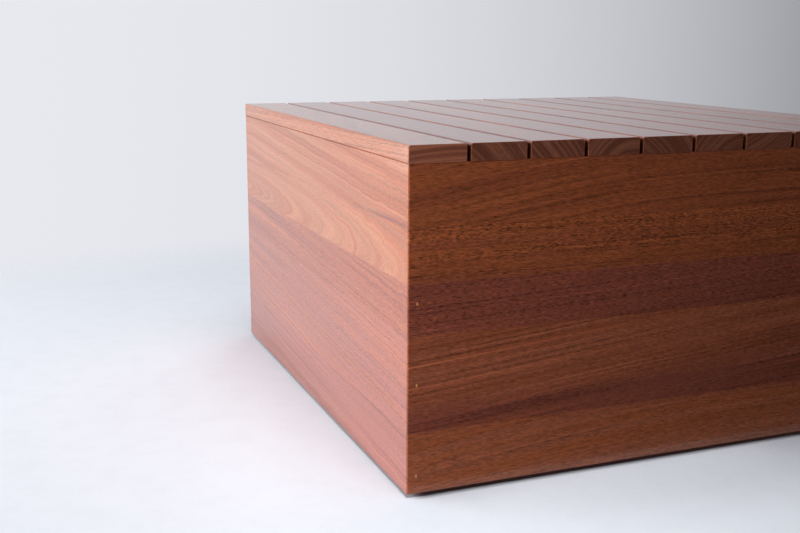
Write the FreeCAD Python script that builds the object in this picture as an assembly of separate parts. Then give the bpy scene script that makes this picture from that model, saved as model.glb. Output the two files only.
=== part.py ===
import FreeCAD, Part

import math
import os

from FreeCAD import Vector

# Side table: a mitred hardwood box under a top of slats, in millimetres.
# X runs to the right along the front, Y to the back and Z up.
# The origin is on the floor, under the middle of the table.

# Whole table
table_width = 762.0
table_depth = 762.0
table_height = 419.0
floor_gap = 4.5

# Top slats, which run from front to back
slat_count = 10
slat_gap = 4.5
slat_thickness = 21.0
slat_edge_radius = 3.0
slat_lower_chamfer = 1.2
slat_end_chamfer = 0.6

# Side boards, numbered from the top. Board 4 takes the height that the others leave.
panel_thickness = 21.0
corner_radius = 2.5
rim_chamfer = 0.8
board_1_width = 73.0
board_2_width = 65.0
board_3_width = 62.0
board_5_width = 76.0

# Timber inside the box: posts, cleats and bearer come from battens of one width
batten_width = 45.0
post_chamfer = 4.0
cleat_height = 22.0
bearer_lap = 22.0

# Countersunk wood screws, driven from below. There are many, so each has a few flat sides.
screw_sides = 8
screw_diameter = 4.2
screw_head_diameter = 8.2
screw_head_height = 2.6
screw_cover = 8.0
fit_clearance = 0.1

# Finish nails across the mitres, with filler over their heads
nail_width = 1.6
nail_length = 38.0
nail_offset = 1.5
nail_2_drop = 5.5
nail_3_rise = 8.0
nail_5_rise = 22.0
filler_width = 2.4
filler_height = 3.5
filler_depth = 2.0

# Levelling feet, whose pads have grip flats round the rim
pad_flats = 24
pad_diameter = 32.0
pad_height = 8.0
pad_shoulder_diameter = 20.0
pad_rim_height = 4.0
pad_floor = 2.6
stud_flange_diameter = 14.0
stud_flange_height = 2.4
stud_neck_diameter = 8.0
stud_diameter = 7.8
stud_reserve = 3.0
stud_end_gap = 2.0
collar_flats = 13.0
collar_height = 5.0
collar_gap = 0.4
insert_diameter = 12.0
insert_length = 15.0
foot_travel = 12.0
run_clearance = 0.1

# Levels and places that follow from the sizes above
panel_bottom = floor_gap
panel_top = table_height - slat_thickness
slat_width = (table_width - (slat_count - 1) * slat_gap) / slat_count
inner_x = table_width / 2 - panel_thickness
inner_y = table_depth / 2 - panel_thickness
cleat_bottom = panel_top - cleat_height
bearer_bottom = cleat_bottom - bearer_lap
collar_bottom = pad_height + collar_gap
post_bottom = collar_bottom + collar_height + collar_gap
stud_top = post_bottom + insert_length + foot_travel + stud_reserve
foot_x = inner_x - batten_width / 2
foot_y = inner_y - batten_width / 2
nail_line = panel_thickness / 2 + nail_offset

corners = {
    "front_left": (-1, -1),
    "front_right": (1, -1),
    "back_left": (-1, 1),
    "back_right": (1, 1),
}


def box(low, high):
    """Box between two opposite corners."""
    size = Vector(*high) - Vector(*low)
    return Part.makeBox(size.x, size.y, size.z, Vector(*low))


def outline(points):
    """Flat face inside a closed run of straight lines."""
    return Part.Face(Part.makePolygon([Vector(*p) for p in [*points, points[0]]]))


def turned(profile, x=0.0, y=0.0):
    """Solid turned about a vertical axis from (radius, height) points."""
    face = outline([(radius, 0, height) for radius, height in profile])
    solid = face.revolve(Vector(), Vector(0, 0, 1), 360)
    solid.translate(Vector(x, y, 0))
    return solid


def faceted(profile, sides, x, y):
    """Many-sided solid about a vertical axis from (radius, height) points, all its faces flat."""
    turns = [k * math.tau / sides for k in range(sides)]
    rings = [[(x + r * math.cos(t), y + r * math.sin(t), z) for t in turns] for r, z in profile]
    faces = [outline(rings[0]), outline(rings[-1])]
    for low, high in zip(rings, rings[1:]):
        faces += [outline([low[k - 1], low[k], high[k], high[k - 1]]) for k in range(sides)]
    return Part.makeSolid(Part.makeShell(faces)).removeSplitter()


def board_levels():
    """Bottom and top height of each side board, from board 1 down to board 5."""
    seams = [panel_top]
    for width in (board_1_width, board_2_width, board_3_width):
        seams.append(seams[-1] - width)
    seams += [panel_bottom + board_5_width, panel_bottom]
    return list(zip(seams[1:], seams))


def slat_centres():
    """X of each slat's middle, from left to right."""
    first = (slat_width - table_width) / 2
    return [first + i * (slat_width + slat_gap) for i in range(slat_count)]


def screw(x, y, seat, tip, clearance=0.0):
    """Screw from its head's flat face at seat up to its end at tip, or with clearance its hole."""
    shank = screw_diameter / 2 + clearance
    profile = [
        (screw_head_diameter / 2 + clearance, seat),
        (shank, seat + screw_head_height),
        (shank, tip + clearance),
    ]
    return faceted(profile, screw_sides, x, y)


def slat_screw_places():
    """X and Y of each slat screw: end slats by the side cleats, the rest by the front and back ones."""
    row_y = inner_y - batten_width / 2
    places = [(x, side * row_y) for x in slat_centres()[1:-1] for side in (-1, 1)]
    lapped = min(panel_thickness + batten_width, slat_width)
    end_x = table_width / 2 - (panel_thickness + lapped) / 2
    end_y = (inner_y - batten_width) / 2
    return places + [(i * end_x, j * end_y) for i, j in corners.values()]


def slat_screws(clearance=0.0):
    """Screws up through the cleats into the slats, or their holes."""
    tip = table_height - screw_cover
    return [screw(x, y, cleat_bottom, tip, clearance) for x, y in slat_screw_places()]


def bearer_screws(clearance=0.0):
    """Screws up through the bearer's lapped ends into the side cleats, or their holes."""
    x = inner_x - batten_width / 2
    tip = panel_top - screw_cover
    return [screw(side * x, 0, bearer_bottom, tip, clearance) for side in (-1, 1)]


def nail_heights():
    """Height of the nail in each nailed board: boards 2, 3, 4 and 5."""
    levels = board_levels()
    top_2 = levels[1][1]
    middle_3, middle_4 = [sum(level) / 2 for level in levels[2:4]]
    return [top_2 - nail_2_drop, middle_3 + nail_3_rise, middle_4, panel_bottom + nail_5_rise]


def nail_places():
    """Corner, height and inward direction of every nail, driven from the front and back faces."""
    for i, j in corners.values():
        for height in nail_heights():
            yield Vector(i * (table_width / 2 - nail_line), j * table_depth / 2, height), -j


def bar(start, inward, depth, length, width, height):
    """Square-cut bar along Y that begins a depth below the face, centred on start."""
    near = start.y + inward * depth
    far = near + inward * length
    return box(
        (start.x - width / 2, min(near, far), start.z - height / 2),
        (start.x + width / 2, max(near, far), start.z + height / 2),
    )


def mitre_nails(clearance=0.0):
    """Square finish nails, sunk below the filler, or their holes."""
    across = nail_width + 2 * clearance
    length = nail_length + clearance
    return [bar(start, inward, filler_depth, length, across, across) for start, inward in nail_places()]


def nail_fillers(clearance=0.0):
    """Plugs of filler, flush with the face, or the dents that they fill."""
    across = filler_width + 2 * clearance
    tall = filler_height + 2 * clearance
    return [bar(start, inward, 0, filler_depth, across, tall) for start, inward in nail_places()]


def cut_where_met(solid, tools):
    """Solid less those tools that reach into its box."""
    met = [tool for tool in tools if solid.BoundBox.intersect(tool.BoundBox)]
    return solid.cut(met) if met else solid


def top_slats():
    """Slats with rounded upper edges, eased ends and a blind hole for each screw."""
    half = slat_width / 2
    flank = half - slat_edge_radius
    crown = table_height - slat_edge_radius
    bend = slat_edge_radius * math.sqrt(0.5)
    low = half - slat_lower_chamfer

    def at(x, z):
        return Vector(x, -table_depth / 2, z)

    right = [at(half, crown), at(flank + bend, crown + bend), at(flank, table_height)]
    left = [at(-flank, table_height), at(-flank - bend, crown + bend), at(-half, crown)]
    eased = panel_top + slat_lower_chamfer
    sides = [at(-half, eased), at(-low, panel_top), at(low, panel_top), at(half, eased)]
    edges = [
        Part.makePolygon([left[-1], *sides, right[0]]),
        Part.Arc(*right).toShape(),
        Part.makeLine(right[-1], left[0]),
        Part.Arc(*left).toShape(),
    ]
    blank = Part.Face(Part.Wire(edges)).extrude(Vector(0, table_depth, 0))
    ends = [e for e in blank.Edges if e.BoundBox.YLength < slat_end_chamfer / 2]
    blank = blank.makeChamfer(slat_end_chamfer, ends)

    holes = slat_screws(fit_clearance)
    slats = {}
    for number, x in enumerate(slat_centres(), start=1):
        slats[f"slat_{number:02d}"] = cut_where_met(blank.translated(Vector(x, 0, 0)), holes)
    return slats


def side_board(length, low, high):
    """Board with mitred ends and half of each rounded corner, its outer face on y = 0."""
    near = length / 2 - corner_radius
    inner = length / 2 - panel_thickness

    def rounded(side, angle):
        across = near + corner_radius * math.sin(angle)
        return Vector(side * across, corner_radius * (1 - math.cos(angle)), low)

    right = [rounded(1, i * math.pi / 8) for i in range(3)]
    left = [rounded(-1, i * math.pi / 8) for i in range(3)]
    inside = [Vector(side * inner, panel_thickness, low) for side in (1, -1)]
    edges = [
        Part.makeLine(left[0], right[0]),
        Part.Arc(*right).toShape(),
        Part.makePolygon([right[-1], *inside, left[-1]]),
        Part.Arc(*reversed(left)).toShape(),
    ]
    return Part.Face(Part.Wire(edges)).extrude(Vector(0, 0, high - low))


def eased_rim(board, level):
    """Board with its outer edge at a level chamfered."""
    outer = [
        edge for edge in board.Edges
        if edge.BoundBox.ZLength < rim_chamfer / 2
        and abs(edge.BoundBox.ZMin - level) < rim_chamfer / 2
        and edge.BoundBox.YMax < corner_radius
    ]
    return board.makeChamfer(rim_chamfer, outer)


def side_boards():
    """Five boards on each of the four sides, with the nail holes cut in them."""
    sides = {
        "front": (0, table_width, table_depth),
        "right": (90, table_depth, table_width),
        "back": (180, table_width, table_depth),
        "left": (270, table_depth, table_width),
    }
    holes = mitre_nails(fit_clearance) + nail_fillers(fit_clearance)
    levels = board_levels()
    boards = {}
    for side, (angle, length, span) in sides.items():
        for number, (low, high) in enumerate(levels, start=1):
            board = side_board(length, low, high)
            if number == 1:
                board = eased_rim(board, high)
            if number == len(levels):
                board = eased_rim(board, low)
            board.translate(Vector(0, -span / 2, 0))
            board.rotate(Vector(), Vector(0, 0, 1), angle)
            boards[f"{side}_board_{number}"] = cut_where_met(board, holes)
    return boards


def corner_posts():
    """Square posts in the corners, bored for the threaded inserts and for the studs that pass them."""
    posts = {}
    for name, (i, j) in corners.items():
        near_x, near_y = i * (inner_x - batten_width), j * (inner_y - batten_width)
        cut_x, cut_y = near_x + i * post_chamfer, near_y + j * post_chamfer
        plan = outline([
            (i * inner_x, j * inner_y, post_bottom),
            (i * inner_x, near_y, post_bottom),
            (cut_x, near_y, post_bottom),
            (near_x, cut_y, post_bottom),
            (near_x, j * inner_y, post_bottom),
        ])
        post = plan.extrude(Vector(0, 0, cleat_bottom - post_bottom))
        foot = Vector(i * foot_x, j * foot_y, post_bottom)
        bore_depth = stud_top + stud_end_gap - post_bottom
        bore = Part.makeCylinder(insert_diameter / 2 + fit_clearance, bore_depth, foot)
        posts[f"corner_post_{name}"] = post.cut(bore)
    return posts


def cleats_and_bearer():
    """Rails inside the rim, bored for the screws, and the bearer lapped under the side cleats."""
    side_y = inner_y - batten_width
    side_x = inner_x - batten_width
    rails = {
        "front_cleat": box((-inner_x, -inner_y, cleat_bottom), (inner_x, -side_y, panel_top)),
        "back_cleat": box((-inner_x, side_y, cleat_bottom), (inner_x, inner_y, panel_top)),
        "left_cleat": box((-inner_x, -side_y, cleat_bottom), (-side_x, side_y, panel_top)),
        "right_cleat": box((side_x, -side_y, cleat_bottom), (inner_x, side_y, panel_top)),
    }
    half = batten_width / 2
    profile = outline([
        (-inner_x, -half, bearer_bottom),
        (inner_x, -half, bearer_bottom),
        (inner_x, -half, cleat_bottom),
        (side_x, -half, cleat_bottom),
        (side_x, -half, panel_top),
        (-side_x, -half, panel_top),
        (-side_x, -half, cleat_bottom),
        (-inner_x, -half, cleat_bottom),
    ])
    rails["middle_bearer"] = profile.extrude(Vector(0, batten_width, 0))
    holes = slat_screws(fit_clearance) + bearer_screws(fit_clearance)
    return {name: cut_where_met(rail, holes) for name, rail in rails.items()}


def threaded_inserts():
    """Inserts for the studs, set flush in the feet of the posts."""
    bore = stud_diameter / 2 + run_clearance
    profile = [
        (bore, post_bottom),
        (insert_diameter / 2, post_bottom),
        (insert_diameter / 2, post_bottom + insert_length),
        (bore, post_bottom + insert_length),
    ]
    return [turned(profile, i * foot_x, j * foot_y) for i, j in corners.values()]


def levelling_stud(x, y):
    """Stud with a hexagon collar for a spanner and a round flange that the pad turns on."""
    flange_bottom = pad_floor + run_clearance
    flange_top = flange_bottom + stud_flange_height
    collar_top = collar_bottom + collar_height
    shank = stud_diameter / 2
    spindle = turned([
        (0, flange_bottom),
        (stud_flange_diameter / 2, flange_bottom),
        (stud_flange_diameter / 2, flange_top),
        (stud_neck_diameter / 2, flange_top),
        (stud_neck_diameter / 2, collar_bottom),
        (shank, collar_top),
        (shank, stud_top),
        (0, stud_top),
    ], x, y)
    reach = collar_flats / math.sqrt(3)
    angles = [k * math.pi / 3 for k in range(6)]
    hexagon = outline([(x + reach * math.cos(a), y + reach * math.sin(a), collar_bottom) for a in angles])
    return spindle.fuse(hexagon.extrude(Vector(0, 0, collar_height))).removeSplitter()


def levelling_pad(x, y):
    """Round pad with a groove that holds the stud's flange."""
    groove = stud_flange_diameter / 2 + run_clearance
    groove_top = pad_floor + stud_flange_height + 2 * run_clearance
    neck = stud_neck_diameter / 2 + run_clearance
    profile = [
        (pad_diameter / 2, 0),
        (pad_diameter / 2, pad_rim_height),
        (pad_shoulder_diameter / 2, pad_height),
        (neck, pad_height),
        (neck, groove_top),
        (groove, groove_top),
        (groove, pad_floor),
    ]
    across_flats = math.cos(math.pi / pad_flats)
    return faceted([(radius / across_flats, z) for radius, z in profile], pad_flats, x, y)


def levelling_feet():
    """Stud and pad under each corner post."""
    feet = {}
    for name, (i, j) in corners.items():
        x, y = i * foot_x, j * foot_y
        feet[f"levelling_stud_{name}"] = levelling_stud(x, y)
        feet[f"levelling_pad_{name}"] = levelling_pad(x, y)
    return feet


def fasteners():
    """Like fasteners together, as groups of separate solids."""
    groups = {
        "slat_screws": slat_screws(),
        "bearer_screws": bearer_screws(),
        "mitre_nails": mitre_nails(),
        "nail_fillers": nail_fillers(),
        "threaded_inserts": threaded_inserts(),
    }
    return {name: Part.makeCompound(solids) for name, solids in groups.items()}


def main():
    os.makedirs("parts", exist_ok=True)
    for pieces in (top_slats, side_boards, corner_posts, cleats_and_bearer, levelling_feet, fasteners):
        for node, shape in pieces().items():
            shape.exportStep(f"parts/{node}.step")


main()
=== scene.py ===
import math
from typing import NamedTuple

import bpy
from bpy.props import FloatProperty, FloatVectorProperty, PointerProperty
from bpy.types import Operator, Panel, PropertyGroup
from mathutils import Euler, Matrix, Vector


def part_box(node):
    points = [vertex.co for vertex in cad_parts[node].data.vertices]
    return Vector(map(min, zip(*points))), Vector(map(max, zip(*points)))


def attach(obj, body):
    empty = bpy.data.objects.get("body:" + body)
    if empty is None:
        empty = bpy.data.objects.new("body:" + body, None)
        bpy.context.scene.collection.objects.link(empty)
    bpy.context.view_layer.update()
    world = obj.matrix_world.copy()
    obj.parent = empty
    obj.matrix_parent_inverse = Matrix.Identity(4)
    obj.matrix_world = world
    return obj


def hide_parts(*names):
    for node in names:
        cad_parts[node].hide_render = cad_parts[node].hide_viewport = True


bl_info = {
    "name": "Slatted Side Table",
    "version": (1, 0, 0),
    "blender": (4, 5, 0),
    "location": "View3D > Sidebar > Side Table",
    "description": "Dresses a mitred hardwood side table and sets it in a soft studio",
    "category": "Material",
}

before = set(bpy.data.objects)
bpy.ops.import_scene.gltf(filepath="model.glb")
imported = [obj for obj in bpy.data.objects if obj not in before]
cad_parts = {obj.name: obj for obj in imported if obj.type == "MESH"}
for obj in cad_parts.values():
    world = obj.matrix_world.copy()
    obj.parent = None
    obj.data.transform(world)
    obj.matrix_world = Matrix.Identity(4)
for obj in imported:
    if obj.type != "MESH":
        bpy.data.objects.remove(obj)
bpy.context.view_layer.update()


def linear(code):
    """Linear red, green and blue, with full alpha, of an sRGB hex code."""
    shares = [int(code[i:i + 2], 16) / 255 for i in (1, 3, 5)]
    return (*(s / 12.92 if s <= 0.04045 else ((s + 0.055) / 1.055) ** 2.4 for s in shares), 1.0)


def colour(name, description, code):
    """Colour property whose default is an sRGB hex code."""
    return FloatVectorProperty(
        name=name, description=description, subtype="COLOR", size=4, min=0.0, max=1.0, default=linear(code)
    )


def length(name, description, millimetres):
    """Length property, held in metres."""
    return FloatProperty(
        name=name, description=description, subtype="DISTANCE", unit="LENGTH", default=millimetres / 1000
    )


def share(name, description, value):
    """Property from 0 to 1."""
    return FloatProperty(
        name=name, description=description, subtype="FACTOR", min=0.0, max=1.0, default=value
    )


def angle(name, description, degrees):
    """Angle property, held in radians."""
    return FloatProperty(
        name=name, description=description, subtype="ANGLE", unit="ROTATION", default=math.radians(degrees)
    )


def power(name, description, watts):
    """Power property of a light."""
    return FloatProperty(name=name, description=description, unit="POWER", default=watts)


def place(name, description, millimetres):
    """Point property, held in metres."""
    return FloatVectorProperty(
        name=name, description=description, subtype="TRANSLATION", unit="LENGTH",
        default=[value / 1000 for value in millimetres],
    )


class TimberSettings(PropertyGroup):
    """Tones and grain of the sapele boards."""

    honey: colour("Honey", "Yellow-brown sapele", "#8C4A2A")
    amber: colour("Amber", "Light yellow-brown sapele", "#975F42")
    copper: colour("Copper", "Light pinkish-brown sapele", "#8F5037")
    russet: colour("Russet", "Reddish sapele", "#7E4129")
    umber: colour("Umber", "Brown of the darker growth bands", "#753C2E")
    # Painted sheen: this tone is pinker and greyer than the wood, standing in for the pale reflection on
    # the lower side boards
    rose: colour("Rose", "Greyish-pink sapele", "#894F43")
    plum: colour("Plum", "Dark purple-brown heartwood", "#7C402F")
    end_pale: colour("Pale end", "Board ends between the rings, where they drink the oil", "#7F4D3A")
    end_dark: colour("Dark end", "Rings on the board ends", "#613527")
    band_run: length("Band run", "How far a growth band runs along the grain", 900.0)
    fine_run: length("Fine run", "How far a fine band runs along the grain", 500.0)
    fine_share: share("Fine share", "Width of a fine band, as a share of a growth band", 0.14)
    fine_weight: share("Fine weight", "Share of the fine bands in the figure", 0.4)
    line_run: length("Line run", "How far a thin growth line runs along the grain", 450.0)
    line_share: share("Line share", "Width of a thin growth line, as a share of a growth band", 0.18)
    stain_weight: share("Stain weight", "Weight of the dark heartwood", 0.6)
    end_ring: length("End ring", "Spacing of the rings on the board ends", 2.3)
    end_scatter: share("End scatter", "Roughness that end grain adds", 0.18)
    pore_length: length("Pore length", "Length of a pore line along the grain", 5.0)
    pore_width: length("Pore width", "Width of a pore line, drawn coarser than the real 0.3 mm", 0.9)
    pore_depth: length("Pore depth", "Depth of the pores left open by the oil", 0.02)
    pore_shade: share("Pore shade", "How much a pore darkens the wood", 0.16)
    pore_scatter: share("Pore scatter", "Roughness that a pore adds", 0.12)
    fibre_length: length("Fibre length", "Length of a fine streak along the grain", 7.5)
    fibre_width: length("Fibre width", "Width of a fine streak", 0.9)
    fleck_length: length("Fleck length", "Length of a ripple mark along the grain", 5.0)
    fleck_width: length("Fleck width", "Width of a ripple mark", 1.3)
    fleck_fade: length("Fleck fade", "Half the height over which the ripple marks fade out", 6.0)
    vein_width: length("Vein width", "Width of a single pale line along a growth ring", 1.8)
    vein_lift: share("Vein lift", "How much such a line lifts the wood", 0.4)
    wave_length: length("Wave length", "Length of a bend in the growth bands", 260.0)
    wave_width: length("Wave width", "Width of a bend in the growth bands", 70.0)
    curl_length: length("Curl length", "Length of a ripple in curly grain", 30.0)
    curl_width: length("Curl width", "Width of a ripple in curly grain", 25.0)
    # Painted shade in the gaps between slats: the sides darken with depth below the top, where shade falls
    gap_shade_start: length("Dust start", "Depth at which dust starts to darken the sides of a gap", 1.5)
    gap_shade_full: length("Dust full", "Depth at which dust has darkened them", 6.0)
    saw_stroke: length("Saw stroke", "Spacing of the saw marks on the framing", 3.0)
    saw_run: length("Saw run", "How far a saw mark runs across the grain", 500.0)
    saw_depth: length("Saw depth", "Depth of the saw marks on the framing", 0.15)
    roughness: share("Roughness", "Roughness of the planed fibres", 0.42)
    oil: share("Oil", "Weight of the hardened oil film over the fibres", 0.85)
    oil_roughness: share("Oil roughness", "Roughness of the satin oil film", 0.13)


class HardwareSettings(PropertyGroup):
    """Sizes and tones of the screws, nails and levelling feet."""

    yellow_zinc: colour("Yellow zinc", "Yellow zinc plate on the screws", "#CBBB8E")
    yellow_zinc_dull: colour("Dull yellow zinc", "Yellow zinc plate where it has worn thin", "#A0946F")
    zinc: colour("Zinc", "Bright zinc plate on the studs", "#B6BABF")
    zinc_dull: colour("Dull zinc", "Zinc plate where it has gone dull", "#8E9398")
    wire: colour("Wire", "Drawn steel wire of the nails", "#8A8B8D")
    wire_dull: colour("Dull wire", "Die marks along the nails", "#6E6F72")
    brass: colour("Brass", "Turned brass of the inserts", "#C7A35E")
    brass_dull: colour("Dull brass", "Brass where it has gone dull", "#9C7B42")
    nylon: colour("Nylon", "Black nylon of the pads", "#232426")
    nylon_worn: colour("Worn nylon", "Nylon scuffed by the floor", "#3A3B3E")
    filler: colour("Filler", "Wood filler over the nails", "#D08A5C")
    filler_grain: colour("Filler grain", "Sawdust in the wood filler", "#A8623E")
    filler_tinted: colour("Tinted filler", "Filler tinted to the upper boards", "#7E4328")
    tint_height: length("Tint height", "Height above which the filler is tinted", 290.0)
    head_width: length("Head width", "Diameter of a countersunk screw head", 7.4)
    head_height: length("Head height", "Height of a countersunk screw head", 2.6)
    shank_width: length("Shank width", "Diameter of a screw's shank", 3.8)
    drive_width: length("Drive width", "Width of the square recess in a screw head", 2.6)
    drive_depth: length("Drive depth", "Depth of the square recess", 1.5)
    end_screw_run: length("End screw run", "From the middle to the screws of the end slats", 157.5)
    screw_cover: length("Screw cover", "Wood left over a screw's point", 8.0)
    thread_pitch: length("Thread pitch", "Pitch of the stud's thread", 1.25)
    thread_depth: length("Thread depth", "Depth of the stud's thread", 0.65)
    stud_width: length("Stud width", "Diameter over the stud's thread", 7.8)
    neck_width: length("Neck width", "Diameter of the stud's neck", 8.0)
    flange_width: length("Flange width", "Diameter of the flange that the pad turns on", 14.0)
    flange_height: length("Flange height", "Height of that flange", 2.4)
    collar_width: length("Collar width", "Hexagon collar across its flats", 13.0)
    collar_low: length("Collar low", "Height of the collar's lower face above the floor", 8.4)
    collar_high: length("Collar high", "Height of the collar's upper face above the floor", 13.4)
    pad_width: length("Pad width", "Diameter of a pad", 32.0)
    pad_shoulder: length("Pad shoulder", "Diameter of a pad's top", 20.0)
    pad_rim: length("Pad rim", "Height of a pad's fluted rim", 4.0)
    flute_depth: length("Flute depth", "Depth of the grip flutes in the rim", 0.3)
    mark_width: length("Mark width", "Width of a tool mark, drawn coarser than the real 0.05 mm", 0.25)
    mark_length: length("Mark length", "Length of a tool mark", 4.0)
    mark_depth: length("Mark depth", "Depth of a tool mark", 0.02)
    die_length: length("Die length", "Length of a die mark along the nails", 10.0)
    patch_width: length("Patch width", "Width of a dull patch on metal", 2.5)
    grain_width: length("Grain width", "Grain of the nylon, drawn coarser than the real 0.1 mm", 0.6)
    grain_depth: length("Grain depth", "Depth of the nylon's grain", 0.05)
    scuff_width: length("Scuff width", "Width of a scuff on the nylon", 1.43)
    sawdust_width: length("Sawdust width", "Grain of sawdust, drawn coarser than the real 0.2 mm", 0.625)
    sawdust_depth: length("Sawdust depth", "Depth of the sawdust's grain", 0.05)


class StageSettings(PropertyGroup):
    """Floor, backdrop, lamps and camera."""

    floor: colour("Floor", "Painted floor", "#DFE4ED")
    floor_mark: colour("Floor mark", "Faint marks in the floor paint", "#DBE0E9")
    floor_bounce: colour("Floor bounce", "Tone of the floor as it lights the table", "#949496")
    mottle_width: length("Mottle width", "Width of a mark in the floor paint", 45.5)
    floor_middle: place("Floor middle", "Middle of the floor", (0.0, -350.0, 0.0))
    floor_reach: place("Floor reach", "Distance from its middle at which the floor has faded out",
                       (2300.0, 1750.0, 0.0))
    # Painted shadow: the floor's tone under the table and at its foot, set by the colour and lengths below
    floor_shade: colour("Floor shade", "Tone of the floor under the table", "#6C6C74")
    floor_opening: length("Floor opening", "Half the width of floor that light from below passes", 379.0)
    window_reach: length("Window reach", "How far the window's light comes in under the left side", 24.0)
    foot_shadow: length("Foot shadow", "How far the shadow of the gap reaches out over the floor", 13.0)
    floor_fade: share("Floor fade", "Share of the reach at which the floor starts to fade", 0.7)
    backdrop_pale: colour("Pale backdrop", "Backdrop on the window's side", "#E8E9EF")
    backdrop_grey: colour("Grey backdrop", "Backdrop away from the window", "#484A4F")
    under: colour("Under", "Light from below, which passes the floor under the table", "#D8DADE")
    fill: colour("Fill", "Light from the rest of the room", "#464748")
    window_place: place("Window place", "Middle of the window light", (-3600.0, 1700.0, 900.0))
    window_size: place("Window size", "Width and height of the window light", (4400.0, 1400.0, 0.0))
    window_power: power("Window power", "Power of the window light", 240.0)
    sheen_place: place("Sheen place", "Middle of a low light for gloss alone", (-1600.0, 1300.0, 200.0))
    sheen_size: place("Sheen size", "Width and height of that light", (2400.0, 400.0, 0.0))
    sheen_power: power("Sheen power", "Power of that light", 7.5)
    door_place: place("Door place", "Middle of a light at the front's left", (-1500.0, -1000.0, 200.0))
    door_size: place("Door size", "Width and height of that light", (900.0, 300.0, 0.0))
    door_power: power("Door power", "Power of that light", 19.7)
    pool_place: place("Pool place", "Middle of a light on the floor alone", (-400.0, -500.0, 700.0))
    pool_size: place("Pool size", "Width and depth of that light", (200.0, 200.0, 0.0))
    pool_power: power("Pool power", "Power of that light", 2.05)
    foot_place: place("Foot place", "Middle of a low light on the floor alone", (-85.0, -400.0, 70.0))
    foot_size: place("Foot size", "Width and depth of that light", (430.0, 10.0, 0.0))
    foot_power: power("Foot power", "Power of that light", 0.036)
    ceiling_place: place("Ceiling place", "Middle of the light overhead", (-600.0, -200.0, 2200.0))
    ceiling_size: place("Ceiling size", "Width and depth of the light overhead", (1800.0, 1400.0, 0.0))
    ceiling_power: power("Ceiling power", "Power of the light overhead", 27.5)
    rear_place: place("Rear place", "Middle of the rear fill light", (1500.0, 2200.0, 1000.0))
    rear_size: place("Rear size", "Width and height of the rear fill light", (2000.0, 1200.0, 0.0))
    rear_power: power("Rear power", "Power of the rear fill light", 30.0)
    side_place: place("Side place", "Middle of the fill light for the right side", (2400.0, 800.0, 700.0))
    side_size: place("Side size", "Width and height of that fill light", (2000.0, 1200.0, 0.0))
    side_power: power("Side power", "Power of that fill light", 22.0)
    flag: colour("Flag", "Dark cloth that the gloss of the front shows", "#1C1C20")
    flag_place: place("Flag place", "Middle of the flag's lower edge", (1000.0, -410.0, 0.0))
    flag_size: place("Flag size", "Width and height of the flag", (2800.0, 480.0, 0.0))
    camera_place: place("Camera place", "Where the camera stands", (-825.9, -1477.3, 538.4))
    camera_yaw: angle("Camera yaw", "Turn of the view from straight back towards the right", 21.66)
    camera_pitch: angle("Camera pitch", "Tilt of the view down from level", 12.23)
    camera_roll: angle("Camera roll", "Turn of the picture about the line of sight", 0.26)
    lens: FloatProperty(name="Lens", description="Focal length", unit="CAMERA", default=48.15)


class SideTableSettings(PropertyGroup):
    """All settings of the side table."""

    timber: PointerProperty(type=TimberSettings)
    hardware: PointerProperty(type=HardwareSettings)
    stage: PointerProperty(type=StageSettings)


class BoardLook(NamedTuple):
    """How one board was sawn from its trunk. Lengths are in metres from the board's middle."""

    # Tones of the pale and the dark growth bands
    pale: str
    dark: str
    # Where the pith passes, across and through the board, and how it climbs, dives and bows along it
    pith: tuple = (-0.16, 0.06)
    rise: float = 0.0
    dive: float = 0.0
    bow: float = 0.0
    # Width of a growth band, and how far long waves and short curls bend it
    band: float = 0.014
    wave: float = 0.006
    curl: float = 0.0
    # Strength of the pores and fibres, of the ripple marks, with their lower end, and of the growth lines
    grain: float = 1.0
    fleck: float = 0.0
    fleck_low: float = -1.0
    line: float = 1.0
    # Radius of the growth ring that is a pale vein, where there is one
    vein: float = -1.0
    # Heights at which any dark heartwood starts and is full, and how it climbs along the board
    stain: tuple = (-1.0, -2.0)
    stain_rise: float = 0.0
    # Brightness of the end grain, and the sides that face a gap, which get painted shade
    end_tone: float = 1.0
    gap_sides: tuple = ()


# Turn from one board to the next that never repeats, for the run of the grain
GOLDEN_ANGLE = math.radians(137.5)
# Seed that each group of boards counts from, and the step to the next board
SIDE_SEED, SIDE_SEED_STEP = 3.0, 7.3
SLAT_SEED, SLAT_SEED_STEP = 200.0, 11.7
FRAMING_SEED, FRAMING_SEED_STEP = 400.0, 9.1
# Edges that turn by more than this are drawn sharp.
SHARP_TURN = math.radians(35.0)

CORNERS = ("front_left", "front_right", "back_left", "back_right")
FRONT_LOOKS = (
    BoardLook("honey", "russet", pith=(-0.20, 0.10), rise=0.05, bow=-0.03, band=0.018, wave=0.008,
              grain=1.3),
    BoardLook("honey", "russet", pith=(-0.30, 0.02), rise=0.01, band=0.011, wave=0.004, grain=1.6,
              fleck=1.1, fleck_low=-0.008, stain=(-0.028, -0.060), stain_rise=-0.03),
    BoardLook("plum", "umber", pith=(-0.26, 0.05), rise=0.05, band=0.013, grain=1.8, fleck=0.6),
    BoardLook("copper", "russet", pith=(-0.12, 0.03), rise=0.10, dive=0.05, band=0.016, grain=1.3,
              vein=0.183, stain=(-0.006, -0.034), stain_rise=0.03),
    BoardLook("copper", "honey", pith=(-0.12, 0.09), rise=0.04, bow=-0.02, band=0.016, grain=1.3,
              line=0.7, stain=(0.025, 0.075), stain_rise=0.02),
)
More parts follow.
